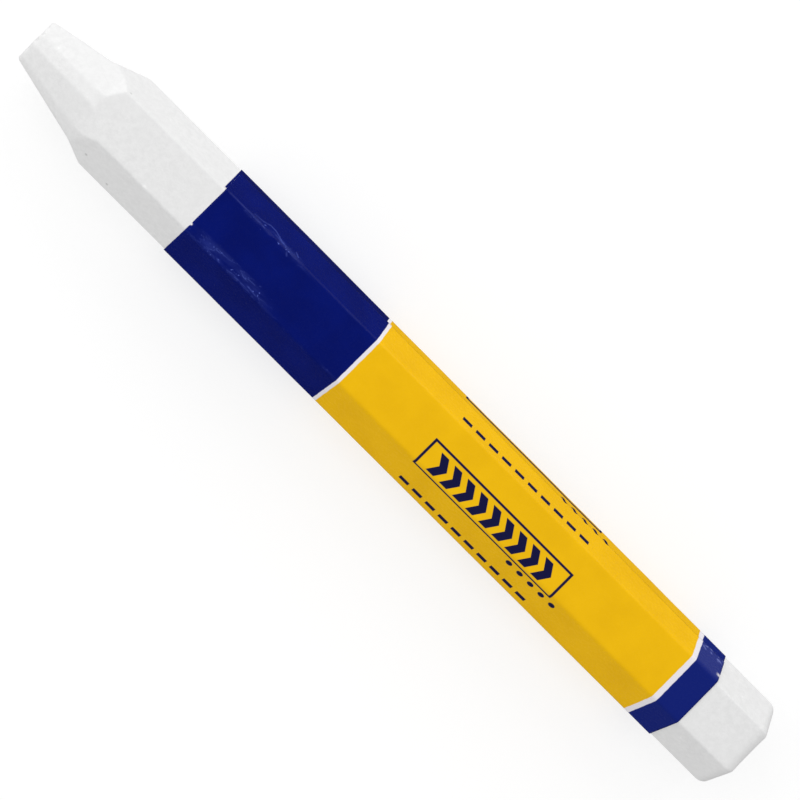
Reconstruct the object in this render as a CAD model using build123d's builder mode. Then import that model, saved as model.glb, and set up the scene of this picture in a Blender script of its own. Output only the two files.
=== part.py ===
"""A hexagonal wax marking crayon in its wrapped paper label, lying on one of its flats.

Two pieces: the moulded wax stick and the paper label glued around it. Millimetres and degrees.
The stick lies along X with its tip towards -X. The label's lowest flat is on Z = 0.
"""

from build123d import *
from math import cos, radians, sin
import os

# Wax stick
LENGTH = 120.0  # tip end to butt end
ACROSS_FLATS = 11.3  # wax alone, flat to opposite flat
CREASE_RADIUS = 0.4  # rounding along the six long creases
BUTT_ROUNDING = 1.1  # rounding where each flat meets the butt end

# Tapered tip. Angles go round the stick from straight up (+Z) towards +Y.
BROAD_FACETS = (  # angle, small end to its crease, shoulder length, shoulder slope, taper slope
    (30, 12.0, 1.4, 0.75, 0.235),
    (90, 12.8, 4.6, 0.42, 0.180),
    (150, 12.9, 2.0, 0.50, 0.240),
    (210, 13.1, 2.2, 0.50, 0.240),
    (270, 13.8, 3.1, 0.40, 0.238),
    (330, 13.8, 3.7, 0.37, 0.240),
)
PLAIN_FACETS = (  # angle, small end to where it runs out, taper slope
    (0, 10.4, 0.268),
    (305, 12.6, 0.239),
)

# Paper label
PAPER = 0.16  # one layer of printed paper with its glue
TIP_BARE = 27.9  # wax left bare at the tip end
BUTT_BARE = 9.3  # wax left bare at the butt end
LAP_ANGLE = 60  # the lap's flat, round the stick from straight up towards +Y
LAP_WIDTH = 5.0  # overlap of the paper's two ends
LAP_EDGE = 1.9  # middle of that flat to the paper's free edge, which is the lower one

SIDES = 6
HALF_SIDE = 180 / SIDES  # angle from the middle of a flat to its crease
SPARE = 1.0  # how far a cutting profile stands clear of the stick

FLAT_REACH = ACROSS_FLATS / 2  # axis to a flat
CREASE_REACH = FLAT_REACH / cos(radians(HALF_SIDE))  # axis to a crease before it is rounded
AXIS_HEIGHT = FLAT_REACH + PAPER
TIP_X = -LENGTH / 2
LABEL_X = TIP_X + TIP_BARE
LABEL_LENGTH = LENGTH - TIP_BARE - BUTT_BARE


def section_plane(x):
    """Plane across the stick at x: its own X is the row's +Y, and its own Y is up."""
    return Plane(origin=(x, 0, AXIS_HEIGHT), x_dir=(0, 1, 0), z_dir=(1, 0, 0))


def facet_plane(angle):
    """Plane through the axis at an angle: its own X runs from the tip, and its own Y outwards."""
    out_y, out_z = sin(radians(angle)), cos(radians(angle))
    return Plane(origin=(TIP_X, 0, AXIS_HEIGHT), x_dir=(1, 0, 0), z_dir=(0, -out_z, out_y))


def rounded_hexagon(standoff):
    """The stick's outline, grown outwards by standoff."""
    with BuildSketch() as outline:
        RegularPolygon(CREASE_REACH + standoff / cos(radians(HALF_SIDE)), SIDES)
        fillet(outline.vertices(), CREASE_RADIUS + standoff)
    return outline.sketch


def cut_broad_facet(angle, crease, shoulder, shoulder_slope, taper_slope):
    """A broad facet: a short steep shoulder down from its crease, then the long gentle taper."""
    bend = crease - shoulder
    bend_reach = CREASE_REACH - shoulder_slope * shoulder
    top = CREASE_REACH + SPARE
    with BuildSketch(facet_plane(angle)) as profile:
        with BuildLine():
            Polyline(
                (-SPARE, bend_reach - taper_slope * (bend + SPARE)),
                (bend, bend_reach),
                (crease, CREASE_REACH),
                (crease, top),
                (-SPARE, top),
                close=True,
            )
        make_face()
    extrude(profile.sketch, amount=ACROSS_FLATS, both=True, mode=Mode.SUBTRACT)


def cut_plain_facet(angle, runout, taper_slope):
    """A facet with no shoulder, which runs out on the stick."""
    off_flat = abs((angle + HALF_SIDE) % (2 * HALF_SIDE) - HALF_SIDE)
    runout_reach = CREASE_REACH * cos(radians(HALF_SIDE - off_flat))
    top = CREASE_REACH + SPARE
    with BuildSketch(facet_plane(angle)) as profile:
        with BuildLine():
            Polyline(
                (-SPARE, runout_reach - taper_slope * (runout + SPARE)),
                (runout + SPARE, runout_reach + taper_slope * SPARE),
                (runout + SPARE, top),
                (-SPARE, top),
                close=True,
            )
        make_face()
    extrude(profile.sketch, amount=ACROSS_FLATS, both=True, mode=Mode.SUBTRACT)


def round_butt_end(angle):
    """Rounds the butt end of the flat that faces the given angle."""
    begin = (LENGTH - BUTT_ROUNDING, FLAT_REACH)
    end = (LENGTH, FLAT_REACH - BUTT_ROUNDING)
    top = CREASE_REACH + SPARE
    with BuildSketch(facet_plane(angle)) as profile:
        with BuildLine():
            RadiusArc(begin, end, BUTT_ROUNDING)
            Polyline(end, (LENGTH + SPARE, end[1]), (LENGTH + SPARE, top), (begin[0], top), begin)
        make_face()
    extrude(profile.sketch, amount=ACROSS_FLATS, both=True, mode=Mode.SUBTRACT)


with BuildPart() as wax_stick:
    with BuildSketch(section_plane(TIP_X)):
        add(rounded_hexagon(0))
    extrude(amount=LENGTH)
    for broad_facet in BROAD_FACETS:
        cut_broad_facet(*broad_facet)
    for plain_facet in PLAIN_FACETS:
        cut_plain_facet(*plain_facet)
    for side in range(SIDES):
        round_butt_end(side * 2 * HALF_SIDE)

with BuildSketch() as lap:
    add(rounded_hexagon(2 * PAPER))
    with Locations(Rot(0, 0, 90 - LAP_ANGLE)):
        with Locations((0, -LAP_EDGE)):
            Rectangle(
                2 * CREASE_REACH,
                LAP_WIDTH,
                align=(Align.MIN, Align.MIN),
                mode=Mode.INTERSECT,
            )

with BuildPart() as paper_label:
    with BuildSketch(section_plane(LABEL_X)):
        add(rounded_hexagon(PAPER))
        add(lap.sketch)
        add(rounded_hexagon(0), mode=Mode.SUBTRACT)
    extrude(amount=LABEL_LENGTH)

wax_stick.part.label = "wax_stick"
paper_label.part.label = "paper_label"

os.makedirs("parts", exist_ok=True)
export_step(wax_stick.part, "parts/wax_stick.step")
export_step(paper_label.part, "parts/paper_label.step")
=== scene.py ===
# %% [markdown]
# # A wax marking crayon in a wrapped paper label
# This lesson dresses a finished CAD model. The frame holds two nodes, a hexagonal wax stick and the
# paper label glued round it, and both are replaced here by meshes that have the wax's worn tip and
# the paper's wrinkles. Both nodes are one body, because nothing on a crayon moves.

# %% Load the frame
import math
import bpy
import numpy as np
from mathutils import Matrix, Vector


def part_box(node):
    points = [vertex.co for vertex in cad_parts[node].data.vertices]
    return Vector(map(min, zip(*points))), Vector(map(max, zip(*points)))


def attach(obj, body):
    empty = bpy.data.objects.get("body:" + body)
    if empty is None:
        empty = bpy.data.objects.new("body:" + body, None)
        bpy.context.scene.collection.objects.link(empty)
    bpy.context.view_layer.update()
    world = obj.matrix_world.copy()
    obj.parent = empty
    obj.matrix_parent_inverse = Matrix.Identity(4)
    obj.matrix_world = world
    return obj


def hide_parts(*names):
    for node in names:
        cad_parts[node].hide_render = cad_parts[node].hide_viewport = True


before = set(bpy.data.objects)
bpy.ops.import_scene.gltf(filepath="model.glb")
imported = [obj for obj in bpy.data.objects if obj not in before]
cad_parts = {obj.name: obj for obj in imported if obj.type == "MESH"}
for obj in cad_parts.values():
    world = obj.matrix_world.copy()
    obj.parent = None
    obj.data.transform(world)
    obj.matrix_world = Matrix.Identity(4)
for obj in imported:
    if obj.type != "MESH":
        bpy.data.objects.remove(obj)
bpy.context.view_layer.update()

# %% [markdown]
# ## Sizes
# Everything that the frame can tell is read from it: where the stick and the label begin and end,
# how thick the wax and the paper are, and how high the stick's axis lies. Only what the frame can't
# tell, such as the print's places on the paper, is written here.

# %% Sizes from the frame
MM = 0.001
wax_low, wax_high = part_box("wax_stick")
label_low, label_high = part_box("paper_label")

FLAT_REACH = (wax_high.z - wax_low.z) / 2
AXIS_HEIGHT = (wax_high.z + wax_low.z) / 2
PAPER = wax_low.z - label_low.z
CREASE_REACH = FLAT_REACH / math.cos(math.radians(30))
SIDE_LENGTH = CREASE_REACH
TIP_X, BUTT_X = wax_low.x, wax_high.x
LABEL_TIP_X, LABEL_BUTT_X = label_low.x, label_high.x
print("wax across flats", round(2 * FLAT_REACH / MM, 2), "mm, paper", round(PAPER / MM, 2), "mm")

# %% [markdown]
# ## A shorthand for node trees
# Shader nodes and Geometry Nodes are both long to write out. One small class stands for a node's
# output socket, and Python's own operators on it add Math nodes, so a rule reads as arithmetic.

# %% Wires
class Wire:
    """A node's output socket. Arithmetic on it adds Math nodes to its tree."""

    def __init__(self, tree, socket):
        self.tree = tree
        self.socket = socket

    def math(self, operation, *others):
        return self.tree.math(operation, self, *others)

    def __add__(self, other):
        return self.math("ADD", other)

    def __sub__(self, other):
        return self.math("SUBTRACT", other)

    def __mul__(self, other):
        return self.math("MULTIPLY", other)

    def __truediv__(self, other):
        return self.math("DIVIDE", other)

    def __rsub__(self, other):
        return self.tree.math("SUBTRACT", other, self)

    def __rtruediv__(self, other):
        return self.tree.math("DIVIDE", other, self)

    __radd__ = __add__
    __rmul__ = __mul__


# %% Trees
class Tree:
    """A node tree that is built by naming nodes, their settings and what goes into them."""

    def __init__(self, node_tree):
        self.nodes = node_tree.nodes
        self.links = node_tree.links

    def node(self, kind, settings=None, sockets=None, out=0):
        made = self.nodes.new(kind)
        for name, value in (settings or {}).items():
            setattr(made, name, value)
        for name, value in (sockets or {}).items():
            if isinstance(value, Wire):
                self.links.new(value.socket, made.inputs[name])
            else:
                made.inputs[name].default_value = value
        return Wire(self, made.outputs[out])

    def math(self, operation, *values):
        return self.node("ShaderNodeMath", {"operation": operation}, dict(enumerate(values)))

    def vector(self, x, y, z):
        return self.node("ShaderNodeCombineXYZ", {}, {"X": x, "Y": y, "Z": z})

    def axes(self, vector):
        parts = self.node("ShaderNodeSeparateXYZ", {}, {"Vector": vector})
        return [Wire(self, output) for output in parts.socket.node.outputs]

    def ease(self, value, start, end, low=0.0, high=1.0):
        """Goes smoothly from low to high while value goes from start to end."""
        sockets = {"Value": value, "From Min": start, "From Max": end}
        sockets |= {"To Min": low, "To Max": high}
        return self.node("ShaderNodeMapRange", {"interpolation_type": "SMOOTHSTEP"}, sockets)

    def noise(self, place, size, detail=2.0, roughness=0.5):
        """Soft random values about 0.5. Their lumps are about size across, in place's unit."""
        sockets = {"Vector": place, "Scale": 1 / size, "Detail": detail, "Roughness": roughness}
        return self.node("ShaderNodeTexNoise", {}, sockets)

    def mix(self, share, first, second):
        """A colour between first and second."""
        sockets = {0: share, 6: first, 7: second}
        return self.node("ShaderNodeMix", {"data_type": "RGBA"}, sockets, out=2)


# %% [markdown]
# ## The wax stick's blank
# The real stick is cast in a hexagonal mould, and its taper is cut or moulded as a few plain
# facets. It could be carved out of the CAD solid, but a shape that follows a rule is easier to
# control: a round blank with a radius of one is made first, and a Geometry Nodes tree then gives
# each of its points the reach that the facets allow. The blank's rings lie close where the wax
# shows, and far apart under the label, where nobody sees them.

# %% Rings of the blank
RIM = 0.35 * MM  # how far the rounding of an end reaches along the stick
AROUND = 240  # points in a ring
CREASE_PULL = 0.07  # draws a ring's points closer together at the creases
TAPER_RUN = 15 * MM  # the taper, with a little of the stick
TUCK = 1 * MM  # how far the closely ringed wax goes in under the label
BUTT_FINE = 1.5 * MM  # finely ringed length at the butt end
RING_RUNS = (  # begin, end and space between rings
    (TIP_X, TIP_X + RIM, 0.07 * MM),
    (TIP_X + RIM, TIP_X + TAPER_RUN, 0.13 * MM),
    (TIP_X + TAPER_RUN, LABEL_TIP_X + TUCK, 0.17 * MM),
    (LABEL_TIP_X + TUCK, LABEL_BUTT_X - TUCK, 8 * MM),
    (LABEL_BUTT_X - TUCK, BUTT_X - BUTT_FINE, 0.17 * MM),
    (BUTT_X - BUTT_FINE, BUTT_X, 0.08 * MM),
)


def evenly(start, end, step):
    """Places from start up to, but not including, end."""
    count = max(1, round(abs(end - start) / step))
    return [start + (end - start) * i / count for i in range(count)]


def blank_rings():
    """(place along the stick, share of the full reach) for each ring, from pole to pole."""
    rings = [(TIP_X, share) for share in evenly(0.04, 1.0, 0.05)]
    for start, end, step in RING_RUNS:
        rings += [(x, 1.0) for x in evenly(start, end, step)]
    rings += [(BUTT_X, share) for share in evenly(1.0, 0.0, 0.06)]
    return rings


# %% The blank
def make_blank(name):
    """A closed round bar whose radius is one, with a pole at each end.

    Seen from outside, each face's corners run anticlockwise, so the faces point outwards.
    """
    turns = np.arange(AROUND) * 2 * math.pi / AROUND
    turns = turns + CREASE_PULL * np.sin(6 * turns)
    points = [(TIP_X, 0.0, 0.0)]
    faces = []
    rings = blank_rings()
    for x, share in rings:
        points += [(x, share * math.sin(turn), share * math.cos(turn)) for turn in turns]
    points.append((BUTT_X, 0.0, 0.0))
    last = len(points) - 1
    for i in range(AROUND):
        j = (i + 1) % AROUND
        faces.append((0, 1 + i, 1 + j))
        faces.append((last, last - AROUND + j, last - AROUND + i))
        for k in range(len(rings) - 1):
            a, b = 1 + k * AROUND, 1 + (k + 1) * AROUND
            faces.append((a + i, b + i, b + j, a + j))
    mesh = bpy.data.meshes.new(name)
    mesh.from_pydata(points, [], faces)
    mesh.update()
    blank = bpy.data.objects.new(name, mesh)
    bpy.context.scene.collection.objects.link(blank)
    print(name, "has", len(rings), "rings of", AROUND, "points")
    return blank


wax = make_blank("wax_body")

# %% [markdown]
# ## The stick's shape, as a rule
# Seen from the axis, a flat facet's distance in a direction is its reach divided by the cosine of
# the angle between that direction and the facet. The surface is wherever the nearest facet is, so
# the whole stick is one smallest-of-many rule, and a smooth minimum rounds every crease at once.

# %% Facets of the tip
BROAD_FACETS = (  # degrees from straight up towards +Y, crease, shoulder, its slope, taper slope
    (30, 12.0 * MM, 1.4 * MM, 0.75, 0.235),
    (90, 12.8 * MM, 4.6 * MM, 0.42, 0.180),
    (150, 12.9 * MM, 2.0 * MM, 0.50, 0.240),
    (210, 13.1 * MM, 2.2 * MM, 0.50, 0.240),
    (270, 13.8 * MM, 3.1 * MM, 0.40, 0.238),
    (330, 13.8 * MM, 3.7 * MM, 0.37, 0.240),
)
PLAIN_FACETS = (  # degrees, small end to where the facet runs out, reach there, taper slope
    (0, 10.4 * MM, FLAT_REACH, 0.268),
    (305, 12.6 * MM, CREASE_REACH * math.cos(math.radians(25)), 0.239),
)
NEAREST_COSINE = 0.08  # keeps a facet that faces away from being divided by nothing
SHOULDER_SOFTNESS = 0.15 * MM


def reach_to(turn, degrees, reach):
    """Distance from the axis, in the direction turn, to a facet that faces degrees."""
    cosine = (turn - math.radians(degrees)).math("COSINE").math("MAXIMUM", NEAREST_COSINE)
    return reach / cosine


def tapered(run, runout, reach, slope):
    """Axis to a facet that has the given reach at its runout and falls by slope towards the tip."""
    return (run - runout) * slope + reach


def shouldered(run, crease, shoulder, steep, slope):
    """A steep shoulder down from the stick's crease, then the long gentle taper."""
    bend_reach = CREASE_REACH - steep * shoulder
    taper = tapered(run, crease - shoulder, bend_reach, slope)
    return taper.math("SMOOTH_MAX", tapered(run, crease, CREASE_REACH, steep), SHOULDER_SOFTNESS)


print(len(BROAD_FACETS), "broad facets and", len(PLAIN_FACETS), "plain ones")

# %% [markdown]
# ## Running a rule on every point
# A Geometry Nodes tree can run the rule on every point of a blank at once, and its named inputs
# keep each size in one place. These helpers make such a tree, end it, and turn what it makes into
# a plain mesh.

# %% Shaping helpers
def new_shaping_tree(name, sizes):
    """A Geometry Nodes tree with a geometry in and out and a named number for each size."""
    node_tree = bpy.data.node_groups.new(name, "GeometryNodeTree")
    face = node_tree.interface
    face.new_socket("Geometry", in_out="INPUT", socket_type="NodeSocketGeometry")
    face.new_socket("Geometry", in_out="OUTPUT", socket_type="NodeSocketGeometry")
    for size_name in sizes:
        face.new_socket(size_name, in_out="INPUT", socket_type="NodeSocketFloat")
    tree = Tree(node_tree)
    first = tree.node("NodeGroupInput").socket.node
    inputs = {output.name: Wire(tree, output) for output in first.outputs if output.name}
    return node_tree, tree, inputs


def finish_shaping(tree, inputs, place, material):
    """Moves each point to its place. Every tree ends in Realize Instances and Set Material."""
    sockets = {"Geometry": inputs["Geometry"], "Position": place}
    moved = tree.node("GeometryNodeSetPosition", {}, sockets)
    real = tree.node("GeometryNodeRealizeInstances", {}, {"Geometry": moved})
    dressed = tree.node("GeometryNodeSetMaterial", {}, {"Geometry": real, "Material": material})
    end = tree.nodes.new("NodeGroupOutput")
    tree.links.new(dressed.socket, end.inputs[0])


# %% Running a tree
def print_triangles(piece):
    print(piece.name, "has", sum(len(p.vertices) - 2 for p in piece.data.polygons), "triangles")


def print_extent(piece):
    """Prints where a piece begins and ends in x, y and z."""
    points = np.array([vertex.co for vertex in piece.data.vertices]) / MM
    low, high = points.min(0).round(2).tolist(), points.max(0).round(2).tolist()
    print(piece.name, "from", low, "to", high, "mm")


def shape_with(blank, node_tree, sizes):
    """Runs the tree on the blank, which then holds the result as a plain mesh."""
    modifier = blank.modifiers.new("shape", "NODES")
    modifier.node_group = node_tree
    for item in node_tree.interface.items_tree:
        if item.in_out == "INPUT" and item.name in sizes:
            modifier[item.identifier] = sizes[item.name]
    bpy.context.view_layer.update()
    evaluated = blank.evaluated_get(bpy.context.evaluated_depsgraph_get())
    mesh = bpy.data.meshes.new_from_object(evaluated)
    mesh.name = blank.name
    blank.modifiers.remove(modifier)
    blank.data = mesh
    mesh.polygons.foreach_set("use_smooth", [True] * len(mesh.polygons))
    print_triangles(blank)


def hexagon_reach(tree, turn, flat_reach, softness):
    """Axis to a hexagon with flats at 0, 60, 120 ... degrees, its creases rounded."""
    side = math.radians(60)
    off_middle = (turn / side - (turn / side).math("ROUND")).math("ABSOLUTE") * side
    near = flat_reach / off_middle.math("COSINE")
    far = flat_reach / (side - off_middle).math("COSINE")
    return near.math("SMOOTH_MIN", far, softness)


# %% [markdown]
# ## The worn stick
# A used crayon isn't a perfect prism. Its top is worn down a little towards the butt end, its small
# end is chipped and leans, its flats are uneven, and it has a few pits. Each of these only adds to
# or takes from the reach, or moves a point along the stick. Under the label the wax shrinks by a
# hair, so that it can't show through the paper.

# %% The stick's own sizes
PITS = (  # small end to the pit, degrees from straight up towards +Y, half its width
    (12.5 * MM, 33.5, 0.22 * MM),
    (17.8 * MM, -80.0, 0.26 * MM),
    (13.7 * MM, -66.0, 0.30 * MM),
    (22.5 * MM, 150.0, 0.26 * MM),
    (115.5 * MM, 205.0, 0.22 * MM),
)
CROWN_RUN = 2.6 * MM  # length over which the top flat is worn down towards the butt end
RIM_DROP = 0.45 * RIM  # how far the small end's rim pulls in
LONG_CREASES = 2.2  # how much softer the long creases are than the taper's
WAX_SIZES = {
    "Flat reach": FLAT_REACH,
    "Softness": 0.16 * MM,
    "Butt rounding": 0.95 * MM,  # how far each flat pulls in at the butt end
    "Butt run": 1.35 * MM,  # over what length it does
    "Butt crown": 0.24 * MM,
    "End lean": 0.22 * MM,
    "Unevenness": 0.035 * MM,
    "Grain": 0.012 * MM,
    "Chip depth": 0.30 * MM,
    "Pit depth": 0.10 * MM,
    "Hidden shrink": 0.17 * MM,
}
print(len(PITS), "pits and", len(WAX_SIZES), "named sizes")


# %% Reach of the stick
def flats_reach(tree, x, turn, size):
    """Axis to the six flats, which pull in along a quarter ellipse at the butt end."""
    into_butt = ((x - BUTT_X) / size["Butt run"] + 1.0).math("MAXIMUM", 0.0)
    left = (1.0 - into_butt * into_butt).math("MAXIMUM", 0.0).math("SQRT")
    drop = size["Butt rounding"] * (1.0 - left)
    reach = hexagon_reach(tree, turn, size["Flat reach"] - drop, size["Softness"] * LONG_CREASES)
    into_crown = ((x - BUTT_X) / CROWN_RUN + 1.0).math("MAXIMUM", 0.0)
    on_top = tree.ease(turn.math("COSINE"), 0.80, 0.99)
    return reach - into_crown * into_crown * on_top * size["Butt crown"]


def taper_reach(reach, run, turn, size):
    """Rounds the taper's facets into what is there already, and then the small end's rim."""
    facets = [(facet[0], shouldered(run, *facet[1:])) for facet in BROAD_FACETS]
    facets += [(facet[0], tapered(run, *facet[1:])) for facet in PLAIN_FACETS]
    for degrees, facet_reach in facets:
        reach = reach.math("SMOOTH_MIN", reach_to(turn, degrees, facet_reach), size["Softness"])
    into_tip = (1.0 - run / RIM).math("MAXIMUM", 0.0)
    return reach - into_tip * into_tip * RIM_DROP


def unevenness(tree, x, place, size):
    """What the bare wax gains or loses, and the shrinking under the label."""
    uneven = (tree.noise(place, 9 * MM, 1.0) - 0.5) * size["Unevenness"]
    grain = (tree.noise(place, 0.6 * MM, 3.0, 0.6) - 0.55) * size["Grain"]
    dimples = tree.ease(tree.noise(place, 1.9 * MM, 2.0, 0.6), 0.74, 0.82) * (-0.06 * MM)
    under_tip_end = tree.ease(x, LABEL_TIP_X + 0.3 * MM, LABEL_TIP_X + 1.2 * MM)
    under_butt_end = tree.ease(x, LABEL_BUTT_X - 0.3 * MM, LABEL_BUTT_X - 1.2 * MM)
    shown = 1 - under_tip_end * under_butt_end
    return (uneven + grain * 2 + dimples) * shown - (1 - shown) * size["Hidden shrink"]


def chipping(tree, run, across, up, size):
    """How far each point of the small end is set back: chips, most on the +Y side, and a lean."""
    chip_noise = tree.noise(tree.vector(across, up, 0.0), 0.95 * MM, 2.0, 0.6)
    worn_side = tree.ease(across, -1.0 * MM, 0.2 * MM, 0.25, 1.0)
    chips = tree.ease(chip_noise, 0.44, 0.62) * size["Chip depth"] * worn_side
    lean = tree.ease(up, -3 * MM, 3.5 * MM) * size["End lean"]
    return (chips + lean) * (1 - tree.ease(run, 0.0, 0.9 * MM))


# %% The tree that shapes the stick
def build_wax_tree(material):
    node_tree, tree, size = new_shaping_tree("wax stick shape", WAX_SIZES)
    x, y, z = tree.axes(tree.node("GeometryNodeInputPosition"))
    turn = y.math("ARCTAN2", z)
    share = (y * y + z * z).math("SQRT")
    run = x - TIP_X
    reach = taper_reach(flats_reach(tree, x, turn, size), run, turn, size)
    smooth_y = turn.math("SINE") * share * reach
    smooth_z = turn.math("COSINE") * share * reach
    reach = reach + unevenness(tree, x, tree.vector(x, smooth_y, smooth_z), size)
    for from_tip, degrees, width in PITS:
        round_off = (turn - math.radians(degrees)) * FLAT_REACH
        off = ((run - from_tip) * (run - from_tip) + round_off * round_off).math("SQRT")
        reach = reach - (1 - tree.ease(off, 0.0, width)) * size["Pit depth"]

    across = turn.math("SINE") * share * reach
    up = turn.math("COSINE") * share * reach
    along = x + chipping(tree, run, across, up, size)
    finish_shaping(tree, size, tree.vector(along, across, up + AXIS_HEIGHT), material)
    return node_tree


wax_finish = bpy.data.materials.new("white marking wax")
shape_with(wax, build_wax_tree(wax_finish), WAX_SIZES)
print_extent(wax)

# %% [markdown]
# ## Finish: marking wax
# Marking wax is nearly white and dull, with a little grey mottling and a few pale crumbs, and its
# pits are darkened with painted shade. Its lumps are in the mesh already, so the material adds only
# what is finer than the mesh: small colour changes and a very fine bump.

# %% Colours and shaders
def linear(red, green, blue):
    """A colour from its usual 0 to 255 values."""
    values = [v / 255 for v in (red, green, blue)]
    curved = [v / 12.92 if v <= 0.04045 else ((v + 0.055) / 1.055) ** 2.4 for v in values]
    return (*curved, 1.0)


def new_finish(material, roughness, **constants):
    """A Principled shader on a material: its tree, the shader node and the object's coordinates."""
    material.use_nodes = True
    material.node_tree.nodes.clear()
    tree = Tree(material.node_tree)
    shader = tree.node("ShaderNodeBsdfPrincipled", {}, {"Roughness": roughness, **constants})
    end = tree.nodes.new("ShaderNodeOutputMaterial")
    tree.links.new(shader.socket, end.inputs["Surface"])
    place = tree.node("ShaderNodeTexCoord", out=3)
    return tree, shader.socket.node, place


def feed(tree, shader, name, wire):
    tree.links.new(wire.socket, shader.inputs[name])


def bump(tree, height, distance):
    """A normal from a height that goes from 0 to 1 over distance metres."""
    sockets = {"Height": height, "Strength": 1.0, "Distance": distance}
    return tree.node("ShaderNodeBump", {}, sockets)


print("a screen's middle grey, 128, gives off", round(linear(128, 128, 128)[0], 2), "of full light")

# %% Wax material
WAX = linear(236, 236, 236)
WAX_LIGHT = linear(239, 239, 239)
WAX_DARK = linear(231, 231, 231)
# painted shade for the pits
PAINTED_PIT_SHADE = linear(176, 176, 175)
WAX_CRUMB = linear(250, 250, 250)


def pit_place(from_tip, degrees):
    """A pit's place on the stick's flats."""
    turn = math.radians(degrees)
    off_flat = math.radians((degrees + 30) % 60 - 30)
    reach = FLAT_REACH / math.cos(off_flat)
    return TIP_X + from_tip, reach * math.sin(turn), reach * math.cos(turn) + AXIS_HEIGHT


def finish_wax(material):
    tree, shader, place = new_finish(material, 0.55, **{"Specular IOR Level": 0.3})
    cloudy = tree.noise(place, 6 * MM, 2.0, 0.5)
    mottled = tree.noise(place, 0.7 * MM, 4.0, 0.75)
    fine = tree.noise(place, 0.3 * MM, 3.0, 0.6)
    colour = tree.mix(tree.ease(mottled, 0.30, 0.70), WAX_DARK, WAX_LIGHT)
    colour = tree.mix(tree.ease(cloudy, 0.35, 0.68) * 0.4, colour, WAX)
    crumbs = tree.ease(tree.noise(place, 0.7 * MM, 1.0), 0.76, 0.82)
    colour = tree.mix(crumbs * 0.7, colour, WAX_CRUMB)
    # Each pit is darkened with painted shade.
    for from_tip, degrees, width in PITS:
        ends = {0: place, 1: pit_place(from_tip, degrees)}
        off = tree.node("ShaderNodeVectorMath", {"operation": "DISTANCE"}, ends, out=1)
        colour = tree.mix((1 - tree.ease(off, width * 0.3, width)) * 0.55, colour, PAINTED_PIT_SHADE)
    feed(tree, shader, "Base Color", colour)
    feed(tree, shader, "Roughness", 0.45 + mottled * 0.2)
    feed(tree, shader, "Normal", bump(tree, fine * 0.5 + mottled * 0.5, 0.03 * MM))


finish_wax(wax_finish)
print("wax finish has", len(wax_finish.node_tree.nodes), "nodes")

# %% [markdown]
# ## The paper label
# The label is one printed sheet, a little longer than once round the stick. Its first end lies
# against the wax at one crease, and its last end is glued down over it, so its cut edge shows. A
# tube would have no such edge, so a flat sheet is made and a tree wraps it along the outline.

# %% The flat sheet
LAP = 4.53 * MM  # overlap of the sheet's two ends, at LAP_MIDDLE
LAP_MIDDLE = 8 * MM
LAP_SKEW = 0.007  # millimetres that the lap widens by for each millimetre towards the tip
SHEET_THICKNESS = 0.14 * MM
OUTLINE = 12 * FLAT_REACH * math.tan(math.radians(30))  # once round the wax
LONG_BAND = 24.8 * MM  # blue band at the tip end of the label
WRINKLED_END = LABEL_TIP_X + LONG_BAND + 1 * MM  # where the sheet can be coarser
BUTT_EDGE_BEGINS = LABEL_BUTT_X - 4 * MM
FINE_STEP, COARSE_STEP, ROW_STEP = 0.27 * MM, 0.5 * MM, 0.24 * MM


def cut_askew(x, s):
    """The sheet's last end is cut a little askew, so the overlap is wider at the tip end."""
    into_lap = max(0.0, (s - OUTLINE) / LAP)
    return s + into_lap * LAP_SKEW * (LAP_MIDDLE - x)


def make_sheet(name):
    """A flat sheet: x along the stick, y round it. Its UV map holds both, in millimetres."""
    columns = evenly(LABEL_TIP_X, WRINKLED_END, FINE_STEP)
    columns += evenly(WRINKLED_END, BUTT_EDGE_BEGINS, COARSE_STEP)
    columns += evenly(BUTT_EDGE_BEGINS, LABEL_BUTT_X, FINE_STEP) + [LABEL_BUTT_X]
    rows = evenly(0.0, OUTLINE + LAP, ROW_STEP) + [OUTLINE + LAP]
    points = [(x, cut_askew(x, s), 0.0) for x in columns for s in rows]
    count = len(rows)
    faces = []
    for i in range(len(columns) - 1):
        for j in range(count - 1):
            a = i * count + j
            faces.append((a, a + count, a + count + 1, a + 1))
    mesh = bpy.data.meshes.new(name)
    mesh.from_pydata(points, [], faces)
    layer = mesh.uv_layers.new(name="sheet")
    for loop in mesh.loops:
        x, s, _ = points[loop.vertex_index]
        layer.data[loop.index].uv = (x / MM, s / MM)
    sheet = bpy.data.objects.new(name, mesh)
    bpy.context.scene.collection.objects.link(sheet)
    print(name, "is", len(columns), "by", count, "points")
    return sheet


label = make_sheet("label_sheet")

# %% [markdown]
# ## Wrapping the sheet
# Each point's distance along the sheet says which side of the hexagon it lies on and how far along
# that side. Its height above the wax is one layer of paper, and two where the sheet's last end
# climbs over its first. The wrap is a little askew, so the buried end shows past the top one at the
# label's tip edge. The paper is puckered along two creases, where it wasn't pressed down.

# %% Sizes of the wrap
BURIED_START = 0.45 * MM  # first end of the sheet, past the upper crease
SKEW_FADES = 15 * MM  # the buried end's shift towards the tip fades from here to the butt end
CLIMB_START, CLIMB_END = OUTLINE - 0.5 * MM, OUTLINE + 0.3 * MM  # last end climbs over the first
SET_BACK = 0.07 * MM  # label's tip edge, short of where the frame has it
LOWER_CREASE = OUTLINE - SIDE_LENGTH  # crease of the top flat that is towards -Y
NICK_PLACE = LOWER_CREASE + 1.0 * MM  # nick in the label's tip edge
NICK_HALF = 0.25 * MM  # half its width
EDGE_RUN = 1 * MM  # how far from a cut end its waver reaches
PUCKERS = (  # middle, round from the upper crease, half width, and its two ends along the stick
    (0.25 * MM, 0.9 * MM, -30.0 * MM, -18.5 * MM),
    (LOWER_CREASE + 0.75 * MM, 1.0 * MM, -33.0 * MM, -17.5 * MM),
)
PUCKER_FADE_IN, PUCKER_FADE_OUT = 2 * MM, 3 * MM
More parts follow.
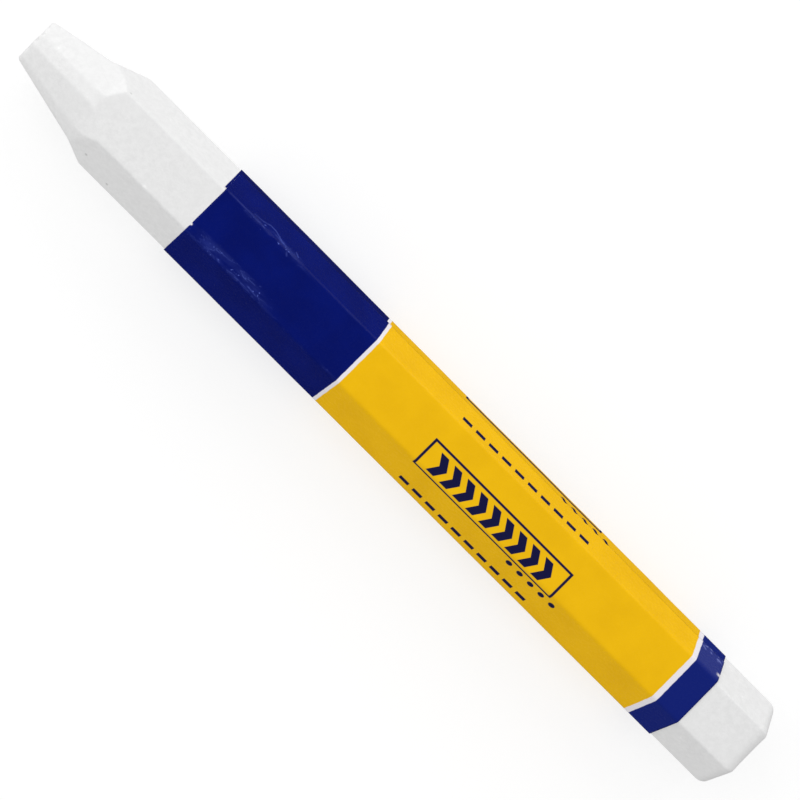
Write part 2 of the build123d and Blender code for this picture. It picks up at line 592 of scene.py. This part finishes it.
LABEL_SIZES = {
    "Flat reach": FLAT_REACH,
    "Layer": PAPER - 0.006 * MM,  # a hair less than in the frame
    "Softness": 0.34 * MM,
    "Skew": 0.29 * MM,
    "Pucker": 0.15 * MM,
    "Unevenness": 0.06 * MM,
    "Edge waver": 0.07 * MM,
    "Nick": 0.08 * MM,
}
print("the sheet starts", BURIED_START / MM, "mm past the upper crease")

# %% Reach of the paper
def shortest_way(along, middle, once_round=OUTLINE):
    """Distance round the outline from middle, whichever way is shorter."""
    return (((along - middle) / once_round + 0.5).math("FRACT") - 0.5).math("ABSOLUTE") * once_round


def pucker_share(tree, x, along_outline):
    """How strongly the paper is puckered, from 0 to 1. It fades round the stick and along it."""
    puckers = 0.0
    for middle, half_width, start, end in PUCKERS:
        beside = 1 - tree.ease(shortest_way(along_outline, middle), 0.0, half_width)
        along = tree.ease(x, start, start + PUCKER_FADE_IN)
        along = along * tree.ease(x, end, end - PUCKER_FADE_OUT)
        puckers = beside * along + puckers
    return puckers


def paper_reach(tree, x, along_outline, turn, size):
    """Axis to the paper, which bends less sharply at the crease under the lap.

    It reads the place round the stick, so that the lap's two layers move together.
    """
    round_y, round_z = turn.math("SINE") * FLAT_REACH, turn.math("COSINE") * FLAT_REACH
    long_lumps = tree.noise(tree.vector(x * 0.4, round_y, round_z), 3.5 * MM, 2.0)
    uneven = (long_lumps - 1.0) * size["Unevenness"]
    climb = tree.ease(along_outline, CLIMB_START, CLIMB_END)
    height = size["Layer"] * (1 + climb) + uneven
    loose = 1 - tree.ease(shortest_way(along_outline, 0.2 * MM), 0.5 * MM, 2.5 * MM)
    softness = size["Softness"] * (loose * 1.6 + 1.0)
    outline = hexagon_reach(tree, turn, size["Flat reach"] + height, softness)
    ripple = tree.noise(tree.vector(x, round_y * 1.6, round_z * 1.6), 1.6 * MM, 2.0, 0.55)
    fold = tree.ease(ripple, 0.36, 0.62, -1.0, 0.2)
    return outline + fold * pucker_share(tree, x, along_outline) * size["Pucker"]


# %% The tree that wraps the sheet
def edge_shift(tree, x, s, along_outline, size):
    """How far points move along the stick: both cut ends waver, and the tip edge has a nick."""
    waver = (tree.noise(tree.vector(s, 0.0, 0.0), 2.2 * MM, 3.0, 0.6) - 0.5) * size["Edge waver"]
    near_tip_end = 1 - tree.ease(x, LABEL_TIP_X, LABEL_TIP_X + EDGE_RUN)
    near_butt_end = 1 - tree.ease(x, LABEL_BUTT_X, LABEL_BUTT_X - EDGE_RUN)
    nick = 1 - tree.ease((along_outline - NICK_PLACE).math("ABSOLUTE"), 0.0, NICK_HALF)
    shift = waver * (near_tip_end + near_butt_end)
    shift = shift + near_tip_end * (nick * size["Nick"] + SET_BACK)
    return shift - size["Skew"] * (1 - s / OUTLINE) * tree.ease(x, LABEL_BUTT_X, SKEW_FADES)


def build_label_tree(material):
    node_tree, tree, size = new_shaping_tree("label wrap", LABEL_SIZES)
    x, s, _ = tree.axes(tree.node("GeometryNodeInputPosition"))
    along_outline = s + BURIED_START
    side = (along_outline / SIDE_LENGTH).math("FLOOR")
    off_middle = along_outline - (side + 0.5) * SIDE_LENGTH
    turn = (side + 1) * math.radians(60) + (off_middle / size["Flat reach"]).math("ARCTANGENT")
    reach = paper_reach(tree, x, along_outline, turn, size)
    across, up = turn.math("SINE") * reach, turn.math("COSINE") * reach
    along = x + edge_shift(tree, x, s, along_outline, size)
    finish_shaping(tree, size, tree.vector(along, across, up + AXIS_HEIGHT), material)
    return node_tree


# %% Wrap and thicken
def thicken(sheet, thickness, inner_material):
    """Gives the sheet a closed wall inwards. Its back and its cut edges are bare paper."""
    sheet.data.materials.append(inner_material)
    wall = sheet.modifiers.new("thickness", "SOLIDIFY")
    wall.thickness = thickness
    wall.offset = -1
    wall.material_offset = 1
    wall.material_offset_rim = 1
    bpy.context.view_layer.update()
    evaluated = sheet.evaluated_get(bpy.context.evaluated_depsgraph_get())
    mesh = bpy.data.meshes.new_from_object(evaluated)
    mesh.name = sheet.name
    sheet.modifiers.remove(wall)
    sheet.data = mesh
    print_triangles(sheet)


label_finish = bpy.data.materials.new("printed label")
bare_finish = bpy.data.materials.new("bare paper")
shape_with(label, build_label_tree(label_finish), LABEL_SIZES)
thicken(label, SHEET_THICKNESS, bare_finish)
print_extent(label)

# %% [markdown]
# ## Finish: the printed paper
# The label is coated paper printed in three inks: a yellow field, a dark blue band at each end with
# a bare white line beside it, and small dark marks. The print could be painted as an image and
# wrapped round the stick, but arithmetic on the sheet's own coordinates stays sharp and bends with
# the paper. From here on, x runs along the stick and s along the sheet round it, in millimetres.

# %% Inks
YELLOW = linear(245, 191, 11)
YELLOW_DEEP = linear(239, 185, 9)
BLUE = linear(2, 19, 109)
BLUE_DEEP = linear(2, 16, 99)
# pale blue for rubbed ink and painted highlights
BLUE_WEAR_AND_HIGHLIGHT = linear(88, 106, 198)
# a painted sheen makes the narrow band's blue lighter than the long band's
NARROW_BLUE_WITH_SHEEN = linear(17, 33, 118)
# pale blue for the lap's painted sheen and its worn, partly highlit specks
NARROW_WEAR_AND_SHEEN = linear(128, 138, 208)
# painted shade for the strip that the free edge leaves bare
PAINTED_EDGE_SHADE = linear(16, 14, 40)
PRINT = linear(22, 22, 66)
BARE = linear(236, 232, 238)
BARE_DEEP = linear(214, 210, 214)

WHITE_LINES = ((-7.21, -6.67), (46.20, 47.00))  # where each begins and ends along the stick
INK_EDGE = 0.08  # softness of an ink's edge
ONCE_ROUND = OUTLINE / MM


def on_sheet(round_place):
    """A distance round from the upper crease, as a place on the sheet."""
    return (round_place - BURIED_START) / MM


print("the top flat's middle is at s =", round(on_sheet(OUTLINE - SIDE_LENGTH / 2), 2))

# %% [markdown]
# ## Dark marks
# Plain marks stand where a maker would print words: a framed row of chevrons, a dashed rule and a
# row of dots. They repeat three times round the stick. Each mark is where a distance is small
# enough, and a distance that starts again after each step makes a row. Here q runs across one
# repeat, from its middle.

# %% Rows and frames
PRINT_REPEAT = ONCE_ROUND / 3
FRAME_START, FRAME_END = 6.0, 29.2
FRAME_HALF = 2.1  # half its width
FRAME_END_LINE, FRAME_SIDE_LINE = 0.35, 0.3  # widths of the frame's lines
FRAME_OFFSET = 1.8  # repeat's middle to the frame's
CHEVRONS_START, CHEVRONS_RUN = 8.6, 19.1
CHEVRON_STEP, CHEVRON_THICK = 2.2, 1.25
CHEVRON_HALF, CHEVRON_SLANT = 1.35, 0.7  # half its width, and how far back its arms run
DASHES_START, DASHES_END = 6.7, 28.7
DASH_STEP, DASH_LENGTH = 2.2, 1.5
DASH_LOW, DASH_HIGH = 4.45, 5.15  # across the repeat
DOTS_START, DOTS_END, DOT_STEP = 22.0, 31.0, 1.8
DOT_RADIUS = 0.5
DOTS_OFFSET = 4.75  # repeat's middle to the dots


def band(tree, value, low, high, soft=0.05):
    """1 between low and high, with edges soft millimetres wide."""
    return tree.ease(value, low - soft, low + soft) * tree.ease(value, high + soft, high - soft)


def repeated(value, step):
    """Starts again from 0 after each step."""
    return (value / step).math("FRACT") * step


# %% Marks
def framed_chevrons(tree, x, q):
    """A row of chevrons that point to the butt end, in a plain frame."""
    across = q + FRAME_OFFSET
    pointed = x + across.math("ABSOLUTE") * CHEVRON_SLANT - CHEVRONS_START
    chevrons = band(tree, repeated(pointed, CHEVRON_STEP), 0.0, CHEVRON_THICK, 0.04)
    row = band(tree, pointed, -0.3, CHEVRONS_RUN)
    row = row * band(tree, across, -CHEVRON_HALF, CHEVRON_HALF)
    outside = band(tree, x, FRAME_START, FRAME_END) * band(tree, across, -FRAME_HALF, FRAME_HALF)
    inside_half = FRAME_HALF - FRAME_SIDE_LINE
    inside = band(tree, x, FRAME_START + FRAME_END_LINE, FRAME_END - FRAME_END_LINE)
    inside = inside * band(tree, across, -inside_half, inside_half)
    return outside - inside + chevrons * row


def dashed_rule(tree, x, q):
    """A thin line along the stick, broken into dashes."""
    dashes = band(tree, repeated(x - DASHES_START, DASH_STEP), 0.0, DASH_LENGTH, 0.04)
    rule = band(tree, x, DASHES_START - 0.1, DASHES_END) * band(tree, q, DASH_LOW, DASH_HIGH)
    return dashes * rule


def dot_row(tree, x, q):
    """Round dots in a row along the stick."""
    dot_x = repeated(x - DOTS_START, DOT_STEP) - DOT_STEP / 2
    dot_q = q + DOTS_OFFSET
    off = (dot_x * dot_x + dot_q * dot_q).math("SQRT")
    dots = 1 - tree.ease(off, DOT_RADIUS - INK_EDGE, DOT_RADIUS)
    return dots * band(tree, x, DOTS_START, DOTS_END)


def dark_marks(tree, x, q):
    marks = framed_chevrons(tree, x, q) + dashed_rule(tree, x, q) + dot_row(tree, x, q)
    return marks.math("MINIMUM", 1.0)


print("the marks repeat every", round(PRINT_REPEAT, 2), "mm round the stick")

# %% [markdown]
# ## Wear and painted light on the ink
# Ink wears where something rubs it. The pale streaks, clouds and crumbs on the puckers and the thin
# lines on the creases are partly rubbed ink and partly painted highlight. Where the lap lifts, the
# narrow band is lightened all over by a painted sheen, and it has pale specks beside the free edge.
# Painted shade darkens the strip that the free edge leaves bare. Each of these is a share from 0 to
# 1 that later mixes a paler or a darker colour into the ink.

# %% Wear, painted sheen and painted shade beside the free edge
NARROW_BAND = WHITE_LINES[1][1]  # where the narrow blue band begins
SPOT_PLACE = 1.4  # bare spot at the butt edge, past the upper crease


def free_edge(x):
    """Place of the sheet's last end on the sheet."""
    return (OUTLINE + LAP + LAP_SKEW * LAP_MIDDLE) / MM - x * LAP_SKEW


def shade_past_free_edge(tree, x, s):
    """The strip that the free edge leaves bare, where shade is painted. It fades out at the next
    crease.
    """
    past_edge = s - (free_edge(x) - ONCE_ROUND)
    return tree.ease(past_edge, -0.25, -0.05) * tree.ease(past_edge, 2.2, 1.2)


def lap_wear_and_sheen(tree, x, s):
    """The narrow band's ink on the lap: lightened all over by a painted sheen, and specks near the
    free edge that are partly worn ink and partly painted highlight.
    """
    on_lap = tree.ease(s, ONCE_ROUND - 0.4, ONCE_ROUND + 0.5)
    on_lap = on_lap * tree.ease(x, NARROW_BAND - 0.5, NARROW_BAND + 0.2)
    specks = tree.ease(tree.noise(tree.vector(x * 0.7, s, 0.0), 0.55, 2.0, 0.6), 0.54, 0.70)
    near_edge = 1 - tree.ease(free_edge(x) - s, 0.5, 1.7)
    return on_lap * (specks * near_edge * 0.6 + 0.09)


def flaked(tree, x, s):
    """Where ink has flaked off: a spot at the butt edge, and round the nick in the tip edge."""
    tip_edge, butt_edge = LABEL_TIP_X / MM, LABEL_BUTT_X / MM
    off_spot = (s - on_sheet(OUTLINE) - SPOT_PLACE).math("ABSOLUTE")
    at_butt_edge = tree.ease(x, butt_edge - 0.7, butt_edge - 0.1)
    spot = (1 - tree.ease(off_spot, 0.1, 0.42)) * at_butt_edge * 0.9
    off_nick = (s - on_sheet(NICK_PLACE)).math("ABSOLUTE")
    nick = (1 - tree.ease(off_nick, 0.05, 0.2)) * tree.ease(x, tip_edge + 0.25, tip_edge + 0.05)
    return (spot + nick).math("MINIMUM", 1.0)


for name, end in (("tip", LABEL_TIP_X), ("butt", LABEL_BUTT_X)):
    width = free_edge(end / MM) - ONCE_ROUND
    print("at the label's", name, "end the lap is", round(width, 2), "mm wide")

# %% Wear and painted highlights on the puckers
HIGHLIT_RIDGES = (  # painted highlights on the upper pucker's ridges: both ends, along the stick and past the upper crease, and strength
    ((-31.4, 0.15), (-26.6, 0.20), 0.35),
    ((-27.6, 0.65), (-26.3, 0.85), 0.7),
    ((-26.3, 0.85), (-25.3, 1.40), 1.0),
    ((-25.3, 1.40), (-24.4, 1.35), 1.0),
    ((-24.4, 1.35), (-23.2, 0.70), 0.8),
    ((-23.2, 0.70), (-22.4, 0.55), 0.5),
    ((-21.0, 1.15), (-20.5, 0.70), 0.9),
    ((-21.9, -0.10), (-21.6, -0.40), 0.6),
)
RIDGE_HALF_WIDTH = 0.17
MOST_PALED = 0.8  # wear and painted highlight together never pale the ink past this


def on_ridge(tree, x, y, start, end):
    """1 along the straight line from start to end, fading to its sides."""
    run_x, run_y = end[0] - start[0], end[1] - start[1]
    share = ((x - start[0]) * run_x + (y - start[1]) * run_y) / (run_x ** 2 + run_y ** 2)
    share = share.math("MAXIMUM", 0.0).math("MINIMUM", 1.0)
    off_x, off_y = x - start[0] - share * run_x, y - start[1] - share * run_y
    return 1 - tree.ease((off_x * off_x + off_y * off_y).math("SQRT"), 0.02, RIDGE_HALF_WIDTH)


print(len(HIGHLIT_RIDGES), "ridges on the upper pucker")

# %% Rubbed ink and painted highlights
def wear_and_highlight_places(tree, x, s, streaks):
    """How much rubbed wear and painted highlight each place gets: the puckers most, the creases
    beside the top flat a little.
    """
    where = 0.0
    for middle, half_width, start, end in PUCKERS:
        off = shortest_way(s, on_sheet(middle), ONCE_ROUND)
        beside = 1 - tree.ease(off, 0.1, half_width / MM)
        along = tree.ease(x, start / MM, start / MM + 7) * tree.ease(x, end / MM, end / MM - 5)
        where = beside * along + where
    for crease in (0.0, LOWER_CREASE):
        off = shortest_way(s, on_sheet(crease), ONCE_ROUND)
        where = where + (1 - tree.ease(off, 0.05, 0.35)) * tree.ease(streaks, 0.35, 0.65, 0.0, 0.25)
    return where


def rubbed_and_highlit(tree, x, s):
    """Where ink is rubbed pale and where highlights are painted: clouds, streaks, crumbs and the
    ridges of the upper pucker.
    """
    streaks = tree.noise(tree.vector(x * 0.35, s * 1.6, 0.0), 1.6, 3.0, 0.55)
    clouds = tree.ease(streaks, 0.32, 0.82)
    lines = 1 - tree.ease((streaks - 0.55).math("ABSOLUTE"), 0.002, 0.022)
    crumbs = tree.ease(tree.noise(tree.vector(x, s, 0.0), 0.5, 1.0), 0.66, 0.74)
    pattern = clouds * 0.27 + lines * 0.3 + crumbs
    ridges = 0.0
    for start, end, strength in HIGHLIT_RIDGES:
        ridge = on_ridge(tree, x, s - on_sheet(OUTLINE), start, end) * strength
        ridges = ridge.math("MAXIMUM", ridges)
    ridges = ridges * tree.ease(streaks, 0.30, 0.60, 0.25, 0.75)
    wear_and_highlight = wear_and_highlight_places(tree, x, s, streaks) * pattern + ridges * 0.55
    return wear_and_highlight.math("MINIMUM", MOST_PALED)


# %% [markdown]
# ## Putting the inks on
# The inks go on from the tip end to the butt end, as each mix covers everything past its edge. The
# coat is only a little glossy, so the blue stays deep.

# %% Label material
def over_from(tree, x, start, below, ink):
    """Covers what is below with an ink, from start along the stick."""
    return tree.mix(tree.ease(x, start, start + INK_EDGE), below, ink)


def finish_label(material):
    tree, shader, place = new_finish(material, 0.3, **{"Specular IOR Level": 0.09})
    x, s, _ = tree.axes(tree.node("ShaderNodeUVMap", {"uv_map": "sheet"}))
    top_middle = on_sheet(OUTLINE - SIDE_LENGTH / 2)
    q = repeated(s - top_middle + PRINT_REPEAT / 2, PRINT_REPEAT) - PRINT_REPEAT / 2

    cloudy = tree.noise(place, 5 * MM, 3.0, 0.55)
    fine = tree.noise(place, 0.5 * MM, 2.0, 0.5)
    ragged = (tree.noise(place, 0.8 * MM, 2.0) - 0.5) * 0.12
    deeper = tree.ease(cloudy, 0.3, 0.7)
    # Painted shade darkens the strip that the free edge leaves bare, in the yellow and in the blue.
    beside = shade_past_free_edge(tree, x, s)
    yellow = tree.mix(deeper, YELLOW, YELLOW_DEEP)
    yellow = tree.mix(beside * 0.08, yellow, PAINTED_EDGE_SHADE)
    blue = tree.mix(deeper, BLUE, BLUE_DEEP)
    # Paler blue on the puckers and creases: partly rubbed ink, partly painted highlight.
    blue = tree.mix(rubbed_and_highlit(tree, x, s), blue, BLUE_WEAR_AND_HIGHLIGHT)
    blue = tree.mix(beside * 0.3, blue, PAINTED_EDGE_SHADE)

    edge_x = x + ragged
    (first_start, first_end), (second_start, second_end) = WHITE_LINES
    colour = over_from(tree, edge_x, first_start, blue, BARE)
    colour = over_from(tree, edge_x, first_end - INK_EDGE, colour, yellow)
    colour = tree.mix(dark_marks(tree, x, q), colour, PRINT)
    colour = over_from(tree, edge_x, second_start, colour, BARE)
    colour = over_from(tree, edge_x, second_end - INK_EDGE, colour, NARROW_BLUE_WITH_SHEEN)
    # Painted sheen all over the lap, and worn, partly highlit specks near its free edge.
    colour = tree.mix(lap_wear_and_sheen(tree, x, s), colour, NARROW_WEAR_AND_SHEEN)
    colour = tree.mix(flaked(tree, x, s), colour, BARE)
    feed(tree, shader, "Base Color", colour)
    feed(tree, shader, "Roughness", 0.22 + fine * 0.1)
    feed(tree, shader, "Normal", bump(tree, cloudy * 0.8 + fine * 0.2, 0.03 * MM))


def finish_bare(material):
    """The sheet's back and its cut edges, where no ink lies."""
    tree, shader, place = new_finish(material, 0.8)
    feed(tree, shader, "Base Color", tree.mix(tree.noise(place, 0.4 * MM), BARE, BARE_DEEP))


finish_label(label_finish)
finish_bare(bare_finish)
print("label finish has", len(label_finish.node_tree.nodes), "nodes")

# %% [markdown]
# ## Riding on the frame
# Both pieces ride on the one body and replace their CAD nodes.

# %% Join the frame
for piece, node, slot in ((wax, "wax_stick", "wax"), (label, "paper_label", "label")):
    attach(piece, "root")
    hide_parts(node)

# %% [markdown]
# ## Floor
# The crayon lies on a plain pale floor, which is lifted to white for the camera alone. A part of
# what the camera sees is still lit by the lamps, so the crayon keeps its shadow. To the dull gloss
# of paper and wax the floor is dim: nothing here is metal or glass that should mirror a white room,
# and a pale reflection would grey the blue.

# %% Floor
FLOOR_HALF = 1.5
floor_mesh = bpy.data.meshes.new("floor")
corners = [(x * FLOOR_HALF, y * FLOOR_HALF, 0) for x, y in ((-1, -1), (1, -1), (1, 1), (-1, 1))]
floor_mesh.from_pydata(corners, [], [(0, 1, 2, 3)])
floor = bpy.data.objects.new("floor", floor_mesh)
bpy.context.scene.collection.objects.link(floor)
print("floor is", 2 * FLOOR_HALF, "m wide")


# %% Floor material
def grey(level):
    return (level, level, level, 1)


def ray_kinds(tree):
    """Whether a ray comes from the camera, and whether the crayon's gloss mirrors it."""
    outputs = tree.node("ShaderNodeLightPath").socket.node.outputs
    return Wire(tree, outputs["Is Camera Ray"]), Wire(tree, outputs["Is Glossy Ray"])


FLOOR_LIT = 0.8  # what lights the crayon from below
FLOOR_MIRRORED = 0.12  # what the crayon's gloss mirrors
FLOOR_GLOW = 0.70  # what the camera sees of the floor that no shadow darkens
FLOOR_SHADE = 0.34  # what it sees that a shadow does darken
floor_finish = bpy.data.materials.new("pale floor")
floor_finish.use_nodes = True
floor_finish.node_tree.nodes.clear()
tree = Tree(floor_finish.node_tree)
seen, mirrored = ray_kinds(tree)
floor_colour = tree.mix(mirrored, grey(FLOOR_LIT), grey(FLOOR_MIRRORED))
lit = tree.node("ShaderNodeBsdfDiffuse", {}, {"Color": floor_colour})
glow = tree.node("ShaderNodeEmission", {}, {"Color": grey(1), "Strength": FLOOR_GLOW})
shade = tree.node("ShaderNodeBsdfDiffuse", {}, {"Color": grey(FLOOR_SHADE)})
pictured = tree.node("ShaderNodeAddShader", {}, {0: glow, 1: shade})
surface = tree.node("ShaderNodeMixShader", {}, {0: seen, 1: lit, 2: pictured})
tree.links.new(surface.socket, tree.nodes.new("ShaderNodeOutputMaterial").inputs["Surface"])
floor_mesh.materials.append(floor_finish)
print("floor finish has", len(floor_finish.node_tree.nodes), "nodes")

# %% [markdown]
# ## Light
# An even white room lights the crayon from all round. Three wide soft lamps stand beyond the tip,
# on the +Y side, and between the tip and the -Y side, so that the facets read by small steps of
# grey. They are large, so no crease shows a hard streak. The room, like the floor, is dim to the
# crayon's gloss.

# %% White room
world = bpy.data.worlds.new("white room")
bpy.context.scene.world = world
world.use_nodes = True
world.node_tree.nodes.clear()
tree = Tree(world.node_tree)
ROOM_LEVEL = 0.69  # what lights the crayon
CEILING_LEVEL = 0.08  # what its gloss mirrors
seen, mirrored = ray_kinds(tree)
strength = ROOM_LEVEL + seen * (1 - ROOM_LEVEL) - mirrored * (ROOM_LEVEL - CEILING_LEVEL)
room = tree.node("ShaderNodeBackground", {}, {"Color": grey(1), "Strength": strength})
tree.links.new(room.socket, tree.nodes.new("ShaderNodeOutputWorld").inputs["Surface"])
print("room gives", ROOM_LEVEL, "of full white")

# %% Soft lamps
LAMPS = (  # name, place in metres, side of the square, power
    ("tip side", (-0.70, 0.18, 0.48), 0.8, 2.1),
    ("upper side", (-0.10, 0.82, 0.36), 0.8, 2.55),
    ("lower tip side", (-0.62, -0.48, 0.42), 0.8, 0.9),
)


def soft_lamp(name, place, size, power):
    """A square lamp that looks at the middle of the crayon."""
    light = bpy.data.lights.new(name, "AREA")
    light.size = size
    light.energy = power
    lamp = bpy.data.objects.new(name, light)
    lamp.location = place
    lamp.rotation_euler = Vector(place).to_track_quat("Z", "Y").to_euler()
    bpy.context.scene.collection.objects.link(lamp)


for lamp_facts in LAMPS:
    soft_lamp(*lamp_facts)
print("lamps:", [lamp_name for lamp_name, *_ in LAMPS])

# %% [markdown]
# ## Camera
# The camera looks down from almost straight above through a long lens. It is turned so that the
# crayon runs from the view's upper left, where its tip is, to the lower right.

# %% Camera
AIM = Vector((0.39 * MM, 0.59 * MM, AXIS_HEIGHT))
EYE = Vector((-36.02 * MM, -10.49 * MM, 326.34 * MM + AXIS_HEIGHT))
VIEW_RIGHT_DEG = 44.77  # direction on the floor that is the view's right-hand side
LENS_MM, SENSOR_MM = 123.8, 36

back = (EYE - AIM).normalized()
right_turn = math.radians(VIEW_RIGHT_DEG)
floor_right = Vector((math.cos(right_turn), math.sin(right_turn), 0))
right = (floor_right - floor_right.dot(back) * back).normalized()
camera_data = bpy.data.cameras.new("camera")
camera_data.lens = LENS_MM
camera_data.sensor_width = SENSOR_MM
camera_data.clip_start = 0.01
camera = bpy.data.objects.new("camera", camera_data)
turned = Matrix((right, back.cross(right), back)).transposed().to_4x4()
camera.matrix_world = Matrix.Translation(EYE) @ turned
bpy.context.scene.collection.objects.link(camera)
bpy.context.scene.camera = camera
bpy.context.scene.view_settings.view_transform = "Standard"
print("camera is", round((EYE - AIM).length / MM), "mm from the crayon")
